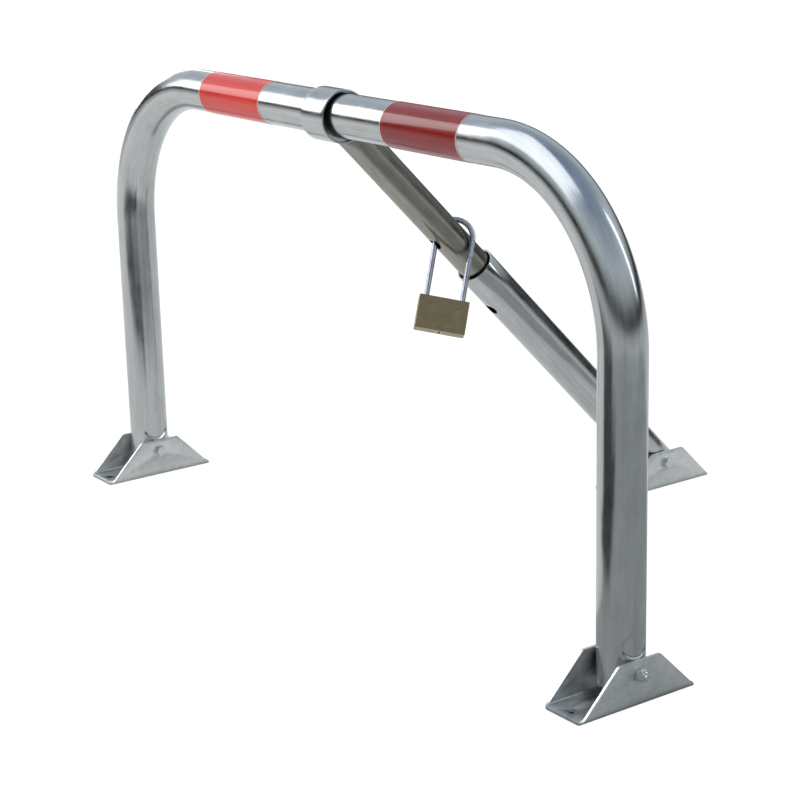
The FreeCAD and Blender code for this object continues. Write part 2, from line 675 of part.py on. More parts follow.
latch_spring = doc.addObject("Part::Feature", "latch_spring")
spring_end = float(sheet.evalExpression(spell(channel_end)))
spring_length = size("latch_length") / 2 + size("spring_room") - size("spring_slack")
spring_level = -size("shackle_drop") - size("latch_depth") - size("latch_height") / 2
spring_foot = Vector(spring_end, 0, spring_level)
coil_radius = size("spring_coil") / 2
coil = Part.makeCylinder(coil_radius, spring_length, spring_foot, X_AXIS * -1)
coil_core = Part.makeCylinder(coil_radius - size("spring_wire"), spring_length, spring_foot, X_AXIS * -1)
latch_spring.Shape = coil.cut(coil_core)
latch_spring.Label = "latch_spring"
latch_spring.Placement = lock_place
nodes.append(latch_spring)

heel_pin = new_body("heel_retaining_pin", lock_place)
pin_disc = new_sketch(heel_pin, "HeelPin", "XZ_Plane")
draw_circle(pin_disc, retainer_across, body_top + " - heel_pin_depth", "heel_pin / 2")
pad(heel_pin, pin_disc, "lock_depth - 2 * lock_edge", symmetric=True)

# ---- checks, then one STEP file for each piece ----
doc.recompute()
smallest_cut = 0.01
for item in doc.Objects:
    if "Invalid" in item.State or "Error" in item.State:
        raise RuntimeError("%s failed: %s" % (item.Name, item.State))
    if item.TypeId in ("PartDesign::Pocket", "PartDesign::Groove"):
        if item.Shape.Volume > item.BaseFeature.Shape.Volume - smallest_cut:
            raise RuntimeError("%s cuts nothing" % item.Name)
os.makedirs("parts", exist_ok=True)
for node in nodes:
    shape = node.Shape
    if shape.isNull() or not shape.isValid() or not shape.Solids:
        raise RuntimeError("%s has no valid solid" % node.Label)
    shape.exportStep("parts/%s.step" % node.Label)
print("%d pieces written, strut angle %.3f degrees" % (len(nodes), strut_angle))
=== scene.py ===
import math
import bpy
from mathutils import Matrix, Vector


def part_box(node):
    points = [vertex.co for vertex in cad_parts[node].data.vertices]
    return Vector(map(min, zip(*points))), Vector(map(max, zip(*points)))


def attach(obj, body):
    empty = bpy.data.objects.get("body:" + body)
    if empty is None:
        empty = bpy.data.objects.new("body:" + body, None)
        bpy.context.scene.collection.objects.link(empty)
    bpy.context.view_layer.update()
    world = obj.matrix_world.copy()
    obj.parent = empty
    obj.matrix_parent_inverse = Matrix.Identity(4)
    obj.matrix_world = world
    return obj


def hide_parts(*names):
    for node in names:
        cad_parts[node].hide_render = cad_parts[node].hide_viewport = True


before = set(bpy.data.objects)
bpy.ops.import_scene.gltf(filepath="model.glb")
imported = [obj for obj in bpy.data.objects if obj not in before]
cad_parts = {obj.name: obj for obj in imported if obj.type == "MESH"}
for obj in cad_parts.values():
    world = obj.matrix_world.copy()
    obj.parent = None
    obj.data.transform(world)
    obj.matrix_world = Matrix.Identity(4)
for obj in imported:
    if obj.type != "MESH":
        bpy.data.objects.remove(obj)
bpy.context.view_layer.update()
print("frame loaded")


def clearSelection():
    bpy.ops.object.select_all(action="DESELECT")


# camera, standing to the right of the barrier and a little above it
cameraPlace = {
    "spot": (1.565, -1.258, 0.7152),
    "azimuth": 54.4,
    "elevation": 16.1,
    "roll": -1.4,
    "lens": 90.4,
}


def makeCamera():
    clearSelection()
    bpy.ops.object.camera_add()
    camera = bpy.context.object
    turn = Matrix.Rotation(math.radians(cameraPlace["azimuth"]), 4, "Z")
    tip = Matrix.Rotation(math.radians(90 - cameraPlace["elevation"]), 4, "X")
    lean = Matrix.Rotation(math.radians(cameraPlace["roll"]), 4, "Z")
    camera.matrix_world = Matrix.Translation(cameraPlace["spot"]) @ turn @ tip @ lean
    camera.data.lens = cameraPlace["lens"]
    camera.data.sensor_width = 36
    bpy.context.scene.camera = camera


makeCamera()
print("camera placed")


# small helpers for shaders

def linear(code):  # an sRGB hex value as linear light
    parts = [int(code[place:place + 2], 16) / 255 for place in (1, 3, 5)]
    return [part / 12.92 if part <= 0.04045 else ((part + 0.055) / 1.055) ** 2.4 for part in parts] + [1]


def addNode(tree, kind, settings=None, inputs=None):
    node = tree.nodes.new(kind)
    for name, value in (settings or {}).items():
        setattr(node, name, value)
    for socket, value in (inputs or {}).items():
        if isinstance(value, bpy.types.NodeSocket):
            tree.links.new(value, node.inputs[socket])
        else:
            node.inputs[socket].default_value = value
    return node


def newMaterial(name):
    material = bpy.data.materials.new(name)
    material.use_nodes = True
    return material, material.node_tree, material.node_tree.nodes["Principled BSDF"]


def patternPlace(tree, follow, scale):
    # the vector that a pattern reads: along a tube, or the piece's own coordinates
    if follow:
        source = addNode(tree, "ShaderNodeAttribute", {"attribute_name": "tubePlace"}).outputs["Vector"]
    else:
        source = addNode(tree, "ShaderNodeTexCoord").outputs["Object"]
    return addNode(tree, "ShaderNodeMapping", None, {"Vector": source, "Scale": scale}).outputs["Vector"]


def spread(tree, value, low, high):  # a 0 to 1 pattern as a value between low and high
    return addNode(tree, "ShaderNodeMapRange", None, {
        "Value": value, "From Min": 0.3, "From Max": 0.7,
        "To Min": low, "To Max": high}).outputs["Result"]


def blendColours(tree, factor, first, second):
    mix = addNode(tree, "ShaderNodeMix", {"data_type": "RGBA"}, {0: factor})
    mix.inputs[6].default_value = linear(first)
    mix.inputs[7].default_value = linear(second)
    return mix.outputs[2]


def metalFinish(name, finish):
    # metal with lengthwise draw or brush lines, cloudy patches and a slightly uneven gloss
    material, tree, shader = newMaterial(name)
    lines = addNode(tree, "ShaderNodeTexNoise", None, {
        "Vector": patternPlace(tree, finish["follow"], [1 / size for size in finish["lineSize"]]),
        "Scale": 1.0, "Detail": 3.0, "Roughness": 0.6}).outputs["Fac"]
    clouds = addNode(tree, "ShaderNodeTexNoise", None, {
        "Vector": patternPlace(tree, finish["follow"], [1 / size for size in finish["cloudSize"]]),
        "Scale": 1.0, "Detail": 5.0, "Roughness": 0.62}).outputs["Fac"]
    mixed = addNode(tree, "ShaderNodeMath", {"operation": "MULTIPLY_ADD"}, {
        0: lines, 1: finish["lineShare"], 2: addNode(tree, "ShaderNodeMath", {"operation": "MULTIPLY"}, {
            0: clouds, 1: 1 - finish["lineShare"]}).outputs[0]}).outputs[0]
    factor = addNode(tree, "ShaderNodeMapRange", None, {
        "Value": mixed, "From Min": 0.34, "From Max": 0.66}).outputs["Result"]
    colour = blendColours(tree, factor, finish["dark"], finish["light"])
    if "paintedShadeHeight" in finish:  # painted shade that darkens the metal just above the ground
        level = addNode(tree, "ShaderNodeSeparateXYZ", None, {
            0: addNode(tree, "ShaderNodeTexCoord").outputs["Object"]}).outputs["Z"]
        paintedShadeFactor = addNode(tree, "ShaderNodeMapRange", {"interpolation_type": "SMOOTHSTEP"}, {
            "Value": level, "From Min": 0.0, "From Max": finish["paintedShadeHeight"],
            "To Min": finish["paintedShadeLeast"], "To Max": 1.0}).outputs["Result"]
        colour = addNode(tree, "ShaderNodeVectorMath", {"operation": "SCALE"}, {
            0: colour, "Scale": paintedShadeFactor}).outputs[0]
    tree.links.new(colour, shader.inputs["Base Color"])
    gloss = spread(tree, clouds, finish["gloss"][0], finish["gloss"][1])
    tree.links.new(gloss, shader.inputs["Roughness"])
    shader.inputs["Metallic"].default_value = 1.0
    bump = addNode(tree, "ShaderNodeBump", None, {
        "Strength": finish["relief"], "Distance": finish["lineSize"][0] * 0.4, "Height": lines})
    tree.links.new(bump.outputs["Normal"], shader.inputs["Normal"])
    return material


# zinc-plated drawn steel tube: bright, with soft lines along it from the drawing die.
# The real lines are about 0.3 mm apart; they are drawn at 1.6 mm so that they show.
drawnTube = metalFinish("zincPlatedDrawnTube", {
    "follow": True, "lineSize": (0.0016, 0.0016, 0.09), "cloudSize": (0.011, 0.011, 0.03),
    "lineShare": 0.45, "dark": "#A6A6A5", "light": "#BDBDBD", "gloss": (0.15, 0.24), "relief": 0.025})

# the strut's inner tube: the same plating, duller and browner where the outer tube has rubbed it
strutTube = metalFinish("zincPlatedStrutTube", {
    "follow": True, "lineSize": (0.0014, 0.0014, 0.07), "cloudSize": (0.009, 0.009, 0.024),
    "lineShare": 0.5, "dark": "#86827A", "light": "#A09C93", "gloss": (0.19, 0.28), "relief": 0.03})

# passivated zinc on pressed plate: satin, faintly clouded
pressedPlate = metalFinish("zincPlatedPressedPlate", {
    "follow": False, "lineSize": (0.0022, 0.012, 0.0022), "cloudSize": (0.009, 0.009, 0.009),
    "lineShare": 0.35, "dark": "#C6C6C4", "light": "#DEDEDC", "gloss": (0.32, 0.44), "relief": 0.04,
    # painted shade: the plate's colour is darkened over its lowest 8 mm, down to 0.6 at the floor
    "paintedShadeHeight": 0.008, "paintedShadeLeast": 0.6})

# bright zinc on cold-headed fasteners
boltZinc = metalFinish("brightZincFastener", {
    "follow": False, "lineSize": (0.0012, 0.0012, 0.0012), "cloudSize": (0.003, 0.003, 0.003),
    "lineShare": 0.5, "dark": "#BDBDBB", "light": "#D6D6D4", "gloss": (0.26, 0.36), "relief": 0.02})

# arc-welded seam under the plating: rippled and duller than the tube
weldSeam = metalFinish("platedWeldSeam", {
    "follow": False, "lineSize": (0.001, 0.001, 0.001), "cloudSize": (0.0025, 0.0025, 0.0025),
    "lineShare": 0.5, "dark": "#77736C", "light": "#B5B1A9", "gloss": (0.3, 0.5), "relief": 0.2})

# sawn and milled brass block, brushed across its width and dulled to olive brown
brassBlock = metalFinish("brushedDulledBrass", {
    "follow": False, "lineSize": (0.02, 0.02, 0.0005), "cloudSize": (0.012, 0.012, 0.012),
    "lineShare": 0.5, "dark": "#85755A", "light": "#9C8C6D", "gloss": (0.3, 0.4), "relief": 0.05})

turnedBrass = metalFinish("turnedBrass", {
    "follow": False, "lineSize": (0.0008, 0.0008, 0.0008), "cloudSize": (0.002, 0.002, 0.002),
    "lineShare": 0.5, "dark": "#96854E", "light": "#BBA868", "gloss": (0.22, 0.34), "relief": 0.05})

# ground and chrome-plated shackle rod
shackleSteel = metalFinish("groundPlatedSteelRod", {
    "follow": False, "lineSize": (0.0007, 0.0007, 0.0007), "cloudSize": (0.006, 0.006, 0.006),
    "lineShare": 0.3, "dark": "#8D8E96", "light": "#B9BAC2", "gloss": (0.1, 0.2), "relief": 0.02})

springSteel = metalFinish("drawnSpringSteel", {
    "follow": False, "lineSize": (0.0005, 0.0005, 0.0005), "cloudSize": (0.002, 0.002, 0.002),
    "lineShare": 0.5, "dark": "#5E5E60", "light": "#8A8A8C", "gloss": (0.25, 0.4), "relief": 0.03})


def reflectiveFilm(name, deep, bright):
    # engineering-grade retroreflective film: glossy clear face over red, with a pale cut edge
    material, tree, shader = newMaterial(name)
    place = patternPlace(tree, False, [1, 1, 1])
    beads = addNode(tree, "ShaderNodeTexVoronoi", None, {
        "Vector": place, "Scale": 900.0}).outputs["Distance"]
    fade = addNode(tree, "ShaderNodeTexNoise", None, {
        "Vector": place, "Scale": 38.0, "Detail": 4.0}).outputs["Fac"]
    red = blendColours(tree, spread(tree, fade, 0.1, 0.9), deep, bright)
    edge = addNode(tree, "ShaderNodeAttribute", {"attribute_name": "filmEdge"}).outputs["Fac"]
    painted = addNode(tree, "ShaderNodeMix", {"data_type": "RGBA"}, {0: edge, 6: red})
    painted.inputs[7].default_value = linear("#E9CFCB")
    tree.links.new(painted.outputs[2], shader.inputs["Base Color"])
    tree.links.new(spread(tree, fade, 0.3, 0.4), shader.inputs["Roughness"])
    shader.inputs["Specular IOR Level"].default_value = 0.15
    shader.inputs["Coat Weight"].default_value = 0.5
    shader.inputs["Coat Roughness"].default_value = 0.05
    bump = addNode(tree, "ShaderNodeBump", None, {
        "Strength": 0.06, "Distance": 0.0002, "Height": beads})
    tree.links.new(bump.outputs["Normal"], shader.inputs["Normal"])
    return material


leftFilm = reflectiveFilm("redReflectiveFilmFaded", "#CB2C22", "#DA392C")
rightFilm = reflectiveFilm("redReflectiveFilm", "#7C0705", "#8E0C09")
print("materials made")


# small helpers for modelling

def editing(on):
    bpy.ops.object.mode_set(mode="EDIT" if on else "OBJECT")


def named(name):
    piece = bpy.context.object
    piece.name = name
    piece.data.name = name
    return piece


def settle(piece, matrix=None):  # bring a piece to its place and leave that place in its mesh
    clearSelection()
    piece.select_set(True)
    bpy.context.view_layer.objects.active = piece
    if matrix is not None:
        piece.matrix_world = matrix @ piece.matrix_world
    bpy.ops.object.transform_apply(location=True, rotation=True, scale=True)


def modify(piece, kind, **settings):
    bpy.context.view_layer.objects.active = piece
    modifier = piece.modifiers.new(kind.lower(), kind)
    for name, value in settings.items():
        setattr(modifier, name, value)
    bpy.ops.object.modifier_apply(modifier=modifier.name)


def roundEdges(piece, width, segments=2):  # break the sharp edges
    modify(piece, "BEVEL", width=width, segments=segments, limit_method="ANGLE",
           angle_limit=math.radians(50))


def smooth(piece, angle=32):
    clearSelection()
    piece.select_set(True)
    bpy.context.view_layer.objects.active = piece
    bpy.ops.object.shade_smooth_by_angle(angle=math.radians(angle))


def startRing(name, radius, sides, height):
    clearSelection()
    bpy.ops.mesh.primitive_circle_add(vertices=sides, radius=radius, fill_type="NOTHING",
                                      location=(0, 0, height))
    piece = named(name)
    settle(piece)
    editing(True)
    bpy.ops.mesh.select_all(action="SELECT")
    return piece


def extrude(step, count=1):
    for turn in range(count):
        bpy.ops.mesh.extrude_region_move(TRANSFORM_OT_translate={"value": Vector(step) / count})


def closeSurface():  # merge doubles and turn all faces outwards, then leave edit mode
    bpy.ops.mesh.select_all(action="SELECT")
    bpy.ops.mesh.remove_doubles(threshold=0.000001)
    bpy.ops.mesh.normals_make_consistent(inside=False)
    editing(False)


def cutBy(piece, cutter, operation="DIFFERENCE"):
    modify(piece, "BOOLEAN", object=cutter, operation=operation, solver="EXACT")
    bpy.data.objects.remove(cutter)


def rodCutter(radius, length, spot, axis, sides=64):
    clearSelection()
    bpy.ops.mesh.primitive_cylinder_add(vertices=sides, radius=radius, depth=length)
    cutter = named("cutter")
    aim = Vector(axis).to_track_quat("Z", "Y").to_matrix().to_4x4()
    settle(cutter, Matrix.Translation(spot) @ aim)
    return cutter


def keepPlace(piece, placeOf):  # where each point lies on its tube, for patterns that follow it
    store = piece.data.attributes.new("tubePlace", "FLOAT_VECTOR", "POINT")
    for vertex, entry in zip(piece.data.vertices, store.data):
        entry.vector = placeOf(vertex.co)


def finishPiece(piece, node, material, body):
    piece.data.materials.clear()
    piece.data.materials.append(material)
    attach(piece, body)
    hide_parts(node)


def middleOf(node):
    low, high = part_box(node)
    return (low + high) / 2


# where things are, read from the frame
rightPivot = middleOf("right_bracket")
hoopLow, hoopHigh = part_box("hoop_tube")
pivotHeight = middleOf("rear_pivot_bolt").z
frontLine = rightPivot.y
rearLine = middleOf("rear_bracket").y
hoopValues = {
    "radius": (hoopHigh.y - hoopLow.y) / 2,
    "wall": 0.002,
    "bend": 0.155,
    "sides": 120,
    "bendSteps": 36,
    "dentDepth": 0.0017,
    "dentWide": 0.0165,
    "dentTall": 0.0135,
    "dentRise": 0.03,
    "dentHeight": 0.0545,
    "dentFlat": 0.78,
    "dentSteps": 70,
    "legSteps": 6,
    "barSteps": 16,
    "rim": 0.0004,
}
legLine = hoopHigh.x - hoopValues["radius"]
barHeight = hoopHigh.z - hoopValues["radius"]
barCentre = Vector((0, frontLine, barHeight))
rearPivot = Vector((0, rearLine, pivotHeight))
strutDown = (rearPivot - barCentre).normalized()
strutUpper = Vector((0, -strutDown.z, strutDown.y))
alongBar = Matrix.Rotation(math.pi / 2, 4, "Y")  # turns local Z to the bar's direction


# hoop: one tube bent twice, its leg ends dented where they were pressed
def makeHoop():
    values = hoopValues
    radius = values["radius"]
    piece = startRing("hoopTube", radius, values["sides"], 0)
    bpy.ops.transform.translate(value=(-legLine, frontLine, hoopLow.z))
    bendLevel = barHeight - values["bend"]
    dentTop = values["dentHeight"] + values["dentRise"]
    extrude((0, 0, dentTop - hoopLow.z), values["dentSteps"])
    extrude((0, 0, bendLevel - dentTop), values["legSteps"])
    bpy.ops.mesh.spin(steps=values["bendSteps"], angle=math.pi / 2, axis=(0, -1, 0),
                      center=(-legLine + values["bend"], frontLine, bendLevel))
    extrude((2 * (legLine - values["bend"]), 0, 0), values["barSteps"])
    bpy.ops.mesh.spin(steps=values["bendSteps"], angle=math.pi / 2, axis=(0, -1, 0),
                      center=(legLine - values["bend"], frontLine, bendLevel))
    extrude((0, 0, dentTop - bendLevel), values["legSteps"])
    extrude((0, 0, hoopLow.z - dentTop), values["dentSteps"])
    closeSurface()
    for vertex in piece.data.vertices:  # shallow pressed dents on both sides of each leg
        spot = vertex.co
        if spot.z < dentTop:
            side = 1 if spot.x > 0 else -1
            across = spot.x - side * legLine
            face = 1 if across > 0 else -1
            around = math.atan2(spot.y - frontLine, abs(across)) * radius
            over = spot.z - values["dentHeight"]
            tall = values["dentRise"] if over > 0 else values["dentTall"]
            reach = math.hypot(around / values["dentWide"], over / tall)
            # sharp below, fading out above
            flat = values["dentFlat"] * (1 - min(max(over / values["dentTall"], 0), 1))
            push = 1 - min(max((reach - flat) / (1 - flat), 0), 1)
            spot.x -= face * values["dentDepth"] * push * push * (3 - 2 * push)
    keepPlace(piece, hoopPlace)
    modify(piece, "SOLIDIFY", thickness=values["wall"], offset=-1)
    roundEdges(piece, values["rim"])
    smooth(piece)
    finishPiece(piece, "hoop_tube", drawnTube, "hoop")


def hoopPlace(spot):  # across the tube twice, then along its bent axis
    side = 1 if spot.x > 0 else -1
    bendCentre = Vector((side * (legLine - hoopValues["bend"]), barHeight - hoopValues["bend"]))
    across, rise = side * (spot.x - bendCentre.x), spot.z - bendCentre.y
    if rise < 0:
        outward, along = across - hoopValues["bend"], rise
    elif across < 0:
        outward, along = rise - hoopValues["bend"], hoopValues["bend"] * math.pi / 2 - across
    else:
        outward = math.hypot(across, rise) - hoopValues["bend"]
        along = hoopValues["bend"] * math.atan2(rise, across)
    return outward, spot.y - frontLine, side * (along + 1)


makeHoop()
print("hoop bent")


# reflective bands: film with a lapped end and pale cut edges
bandValues = {
    "film": 0.0003,
    "edge": 0.0013,
    "lap": 0.00012,
    "lapAngle": 205,
    "lapTurn": 0.16,
    "sides": 120,
}


def makeBand(name, node, material):
    values = bandValues
    low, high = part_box(node)
    radius = hoopValues["radius"] + values["film"]
    length = high.x - low.x
    piece = startRing(name, radius, values["sides"], 0)
    for step in (values["edge"], length - 2 * values["edge"], values["edge"]):
        extrude((0, 0, step))
    closeSurface()
    settle(piece, Matrix.Translation((low.x, frontLine, barHeight)) @ alongBar)
    lapStart = math.radians(values["lapAngle"])
    for vertex in piece.data.vertices:  # the lap stands a little proud over a few millimetres
        around = math.atan2(vertex.co.z - barHeight, vertex.co.y - frontLine) % math.tau
        if 0 <= around - lapStart < values["lapTurn"]:
            out = Vector((0, vertex.co.y - frontLine, vertex.co.z - barHeight)).normalized()
            vertex.co += out * values["lap"]
    store = piece.data.attributes.new("filmEdge", "FLOAT", "POINT")
    for vertex, entry in zip(piece.data.vertices, store.data):
        nearEnd = min(vertex.co.x - low.x, high.x - vertex.co.x)
        entry.value = 1 if nearEnd < values["edge"] * 0.5 else 0
    modify(piece, "SOLIDIFY", thickness=values["film"] * 0.9, offset=-1)
    smooth(piece)
    finishPiece(piece, node, material, "hoop")


makeBand("leftReflectiveBand", "left_reflective_band", leftFilm)
makeBand("rightReflectiveBand", "right_reflective_band", rightFilm)
print("bands wrapped")


# strut: a collar on the bar, welded to a tube that slides in a wider one. The shifts start each
# piece's pattern at a place of its own.
strutValues = {
    "upperRadius": 0.0165,
    "upperWall": 0.002,
    "upperReach": 0.511,
    "lowerRadius": 0.02,
    "lowerWall": 0.0015,
    "lowerReach": 0.354,
    "lowerTail": 0.014,
    "hole": 0.007,
    "padlockHole": 0.181,
    "lockHole": 0.05,
    "holeMargin": 0.012,
    "upperStart": 0.04,
    "lowerStart": 0.02,
    "sides": 96,
    "rim": 0.00035,
    "cutter": 0.08,
    "saddleCutter": 0.1,
    "saddleSides": 128,
    "lowerShift": 3,
}
collarValues = {
    "radius": 0.0255,
    "wall": 0.002,
    "slack": 0.0015,
    "sides": 96,
    "steps": 8,
    "rim": 0.0007,
    "rimSteps": 4,
    "shift": 6,
}


def strutFrame(origin, along, upper):  # local Z along the strut, local -Y on its upper side
    across = along.cross(upper)
    matrix = Matrix((across, -upper, along)).transposed().to_4x4()
    return Matrix.Translation(origin) @ matrix


upperFrame = strutFrame(barCentre, strutDown, strutUpper)
lowerFrame = strutFrame(rearPivot, -strutDown, strutUpper)
restLength = (rearPivot - barCentre).length


def makeStraightTube(name, radius, wall, levels):
    piece = startRing(name, radius, strutValues["sides"], levels[0])
    for previous, level in zip(levels, levels[1:]):
        extrude((0, 0, level - previous))
    closeSurface()
    modify(piece, "SOLIDIFY", thickness=wall, offset=-1)
    return piece


def makeUpperTube():
    values = strutValues
    lockLevel = restLength - values["lowerReach"] + values["lockHole"]
    margin = values["holeMargin"]
    levels = [0.0, values["upperStart"], values["padlockHole"] - margin, values["padlockHole"] + margin,
              lockLevel - margin, lockLevel + margin, values["upperReach"]]
    piece = makeStraightTube("upperStrutTube", values["upperRadius"], values["upperWall"], levels)
    for level in (values["padlockHole"], lockLevel):
        cutBy(piece, rodCutter(values["hole"], values["cutter"], (0, 0, level), (0, 1, 0)))
    middle = collarValues["radius"] - collarValues["wall"] / 2
    cutBy(piece, rodCutter(middle, values["saddleCutter"], (0, collarValues["slack"], 0), (1, 0, 0),
                           values["saddleSides"]))
    roundEdges(piece, values["rim"])
    keepPlace(piece, lambda spot: spot)
    settle(piece, upperFrame)
    smooth(piece)
    finishPiece(piece, "upper_strut_tube", strutTube, "upper_strut")


def makeLowerTube():
    values = strutValues
    level = values["lowerReach"] - values["lockHole"]
    margin = values["holeMargin"]
    levels = [-values["lowerTail"], values["lowerStart"], level - margin, level + margin,
              values["lowerReach"]]
    piece = makeStraightTube("lowerStrutTube", values["lowerRadius"], values["lowerWall"], levels)
    cutBy(piece, rodCutter(values["hole"], values["cutter"], (0, 0, level), (0, 1, 0)))
    roundEdges(piece, values["rim"])
    keepPlace(piece, lambda spot: spot + Vector((0, 0, values["lowerShift"])))
    settle(piece, lowerFrame)
    smooth(piece)
    finishPiece(piece, "lower_strut_tube", drawnTube, "lower_strut")


def makeCollar():
    values = collarValues
    low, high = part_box("strut_collar")
    piece = startRing("strutCollar", values["radius"], values["sides"], 0)
    extrude((0, 0, high.x - low.x), values["steps"])
    closeSurface()
    modify(piece, "SOLIDIFY", thickness=values["wall"], offset=-1)
    roundEdges(piece, values["rim"], values["rimSteps"])
    keepPlace(piece, lambda spot: spot + Vector((0, 0, values["shift"])))
    centre = barCentre - strutUpper * values["slack"]  # the loose collar hangs on the bar
    settle(piece, Matrix.Translation((low.x, centre.y, centre.z)) @ alongBar)
    smooth(piece)
    finishPiece(piece, "strut_collar", drawnTube, "upper_strut")


# weld: a rippled bead laid where the strut's tube meets the collar
weldValues = {
    "reach": 0.0167,
    "bead": 0.0017,
    "steps": 168,
    "beadSides": 14,
    "ripples": 38,
    "ripple": 0.14,
    "lift": 0.0004,
}


def makeWeld():
    values = weldValues
    clearSelection()
    bpy.ops.mesh.primitive_torus_add(major_radius=values["reach"], minor_radius=values["bead"],
                                     major_segments=values["steps"], minor_segments=values["beadSides"])
    piece = named("collarWeld")
    for vertex in piece.data.vertices:
        turn = math.atan2(vertex.co.y, vertex.co.x)
        core = Vector((math.cos(turn), math.sin(turn), 0)) * values["reach"]
        swell = 1 + values["ripple"] * abs(math.sin(turn * values["ripples"] / 2)) - values["ripple"]
        spot = core + (vertex.co - core) * swell
        over = core.y - collarValues["slack"]
        spot.z += math.sqrt(collarValues["radius"] ** 2 - over * over) + values["lift"]
        vertex.co = spot
    settle(piece, upperFrame)
    smooth(piece, 60)
    finishPiece(piece, "collar_weld", weldSeam, "upper_strut")


makeUpperTube()
makeLowerTube()
makeCollar()
makeWeld()
print("strut made")


# floor brackets: plate folded into a channel, ears sheared to a slope
bracketValues = {
    "plate": 0.003,
    "foldRadius": 0.005,
    "foldSteps": 8,
    "crown": 0.046,
    "lip": 0.005,
    "crownCorner": 0.0022,
    "cornerSteps": 5,
    "anchorHole": 0.0045,
    "anchorInset": 0.011,
    "pinHole": 0.0031,
    "edge": 0.0005,
    "anchorCutter": 0.03,
    "pinCutter": 0.1,
    "near": 0.001,
}


def makeBracket(name, node):
    values = bracketValues
    low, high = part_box(node)
    halfWide, halfLong = (high.x - low.x) / 2, (high.y - low.y) / 2
    height, fold, near = high.z - low.z, values["foldRadius"], values["near"]
    clearSelection()
    bpy.ops.mesh.primitive_plane_add(size=1)
    piece = named(name)
    piece.scale = (2 * halfWide, 2 * halfLong, 1)
    settle(piece)
    editing(True)
    bpy.ops.mesh.select_mode(type="EDGE")
    bpy.ops.mesh.select_all(action="DESELECT")
    editing(False)
    for edge in piece.data.edges:  # the two long edges are folded up into ears
        ends = [piece.data.vertices[index].co for index in edge.vertices]
        edge.select = abs(ends[0].x - ends[1].x) < near
    editing(True)
    bpy.ops.mesh.extrude_edges_move(TRANSFORM_OT_translate={"value": (0, 0, height)})
    bpy.ops.mesh.select_all(action="DESELECT")
    editing(False)
    for edge in piece.data.edges:
        ends = [piece.data.vertices[index].co for index in edge.vertices]
        edge.select = all(end.z < near for end in ends) and abs(ends[0].x - ends[1].x) < near
    editing(True)
    bpy.ops.mesh.bevel(offset=fold, segments=values["foldSteps"], affect="EDGES")
    editing(False)
    footEnd = halfLong - values["lip"]
    for vertex in piece.data.vertices:  # slope the ears, and round the base's ends out past them
        spot = vertex.co
        side = 1 if spot.y > 0 else -1
        overFold = max(abs(spot.x) - (halfWide - fold), 0) / fold
        if spot.z > height - near:
            spot.y = side * values["crown"] / 2
        elif overFold > 0:
            spot.y = side * (footEnd + values["lip"] * math.sqrt(max(1 - overFold * overFold, 0)))
    editing(True)
    bpy.ops.mesh.select_mode(type="VERT")
    bpy.ops.mesh.select_all(action="DESELECT")
    editing(False)
    for vertex in piece.data.vertices:
        vertex.select = vertex.co.z > height - near
    editing(True)
    bpy.ops.mesh.bevel(offset=values["crownCorner"], segments=values["cornerSteps"], affect="VERTICES")
    bpy.ops.mesh.select_all(action="SELECT")
    bpy.ops.mesh.normals_make_consistent(inside=False)
    editing(False)
    modify(piece, "SOLIDIFY", thickness=values["plate"], offset=solidifySide(piece), use_even_offset=True)
    for sign in (-1, 1):
        spot = (0, sign * (halfLong - values["anchorInset"]), 0)
        cutBy(piece, rodCutter(values["anchorHole"], values["anchorCutter"], spot, (0, 0, 1)))
    cutBy(piece, rodCutter(values["pinHole"], values["pinCutter"], (0, 0, pivotHeight), (1, 0, 0)))
    roundEdges(piece, values["edge"])
    settle(piece, Matrix.Translation(((low.x + high.x) / 2, (low.y + high.y) / 2, 0)))
    smooth(piece)
    finishPiece(piece, node, pressedPlate, "ground_brackets")


def solidifySide(piece):  # which way the plate's thickness goes, so that it stays inside the folds
    base = [face for face in piece.data.polygons if abs(face.normal.z) > 0.9][0]
    return -1 if base.normal.z < 0 else 1


for side in ("left", "right", "rear"):
    makeBracket(side + "Bracket", side + "_bracket")
print("brackets folded")


# pivot bolts, washers and lock nuts
fastenerValues = {
    "hexRadius": 0.01 / math.sqrt(3),
    "bolt": 0.003,
    "head": 0.004,
    "nut": 0.004,
    "nutCollar": 0.002,
    "pitch": 0.001,
    "threadDepth": 0.00045,
    "washer": 0.006,
    "washerThick": 0.0016,
    "washerPlay": 0.0001,
    "washerEdge": 0.0003,
    "washerSides": 64,
    "threadLength": 0.0095,
    "shankSides": 48,
    "coneSides": 72,
    "coneReach": 0.01,
    "coneSlope": 1.732,
    "coneShare": 0.97,
    "pointShare": 0.95,
    "collarSides": 64,
    "collarShare": 0.78,
    "collarStraight": 0.7,
    "collarRounded": 0.3,
    "collarTaper": 0.84,
    "collarMouth": 0.82,
    "collarRecess": 0.6,
    "boreDepth": 0.004,
    "boreMiddle": 0.0005,
    "smoothAngle": 30,
}


def hexagonBlock(name, thickness):
    # a hexagon prism from 0 to thickness, its corners turned down by a cone
    values = fastenerValues
    clearSelection()
    bpy.ops.mesh.primitive_cylinder_add(vertices=6, radius=values["hexRadius"], depth=thickness,
                                        location=(0, 0, thickness / 2))
    piece = named(name)
    settle(piece)
    flatRadius = values["hexRadius"] * math.sqrt(3) / 2
    clearSelection()
    reach, slope = values["coneReach"], values["coneSlope"]
    topRadius = flatRadius * values["coneShare"]
    bpy.ops.mesh.primitive_cone_add(vertices=values["coneSides"], depth=reach + thickness,
                                    radius1=topRadius + reach * slope + thickness * slope,
                                    radius2=topRadius, location=(0, 0, (thickness - reach) / 2))
    cone = named("cutter")
    settle(cone)
    cutBy(piece, cone, "INTERSECT")
    return piece


def joinPieces(first, *others):
    clearSelection()
    for other in others:
        other.select_set(True)
    first.select_set(True)
    bpy.context.view_layer.objects.active = first
    bpy.ops.object.join()
    return first


